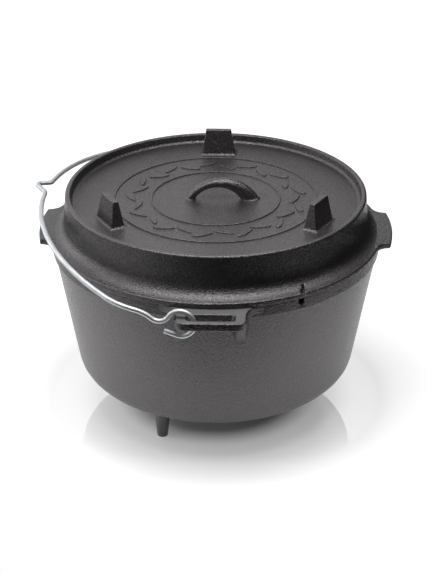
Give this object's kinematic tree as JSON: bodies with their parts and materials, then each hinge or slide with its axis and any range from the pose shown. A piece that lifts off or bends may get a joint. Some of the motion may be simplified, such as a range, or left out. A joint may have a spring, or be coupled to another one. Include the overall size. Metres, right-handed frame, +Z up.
{
  "type": "camp dutch oven",
  "caption": "Cast iron camp cooking pot on short legs, with slotted ears, a flanged lid with a raised rim for coals and a loop handle, and a swinging wire bail.",
  "frame": {"origin": "on the floor, under the middle of the pot", "axes": "+Z up along the axis of the pot, -Y towards the front ear, +X to the right as seen from the front"},
  "size_m": [0.3571, 0.386, 0.247],
  "materials": {
    "iron": "seasoned sand-cast, satin",
    "wire": "bright drawn wire"
  },
  "bodies": {
    "pot": {"pot": "iron"},
    "lid": {"lid": "iron"},
    "bail": {"bail": "wire"}
  },
  "joints": [
    {"name": "lid_lift", "type": "slide", "parent": "pot", "child": "lid", "axis": [0.2924, 0, 0.9563], "range_m": [0, 0.22]},
    {"name": "bail_swing", "type": "hinge", "parent": "pot", "child": "bail", "pos_m": [0, 0, 0.1781], "axis": [0.1491, 0.9888, 0], "range_deg": [0, 153]}
  ]
}
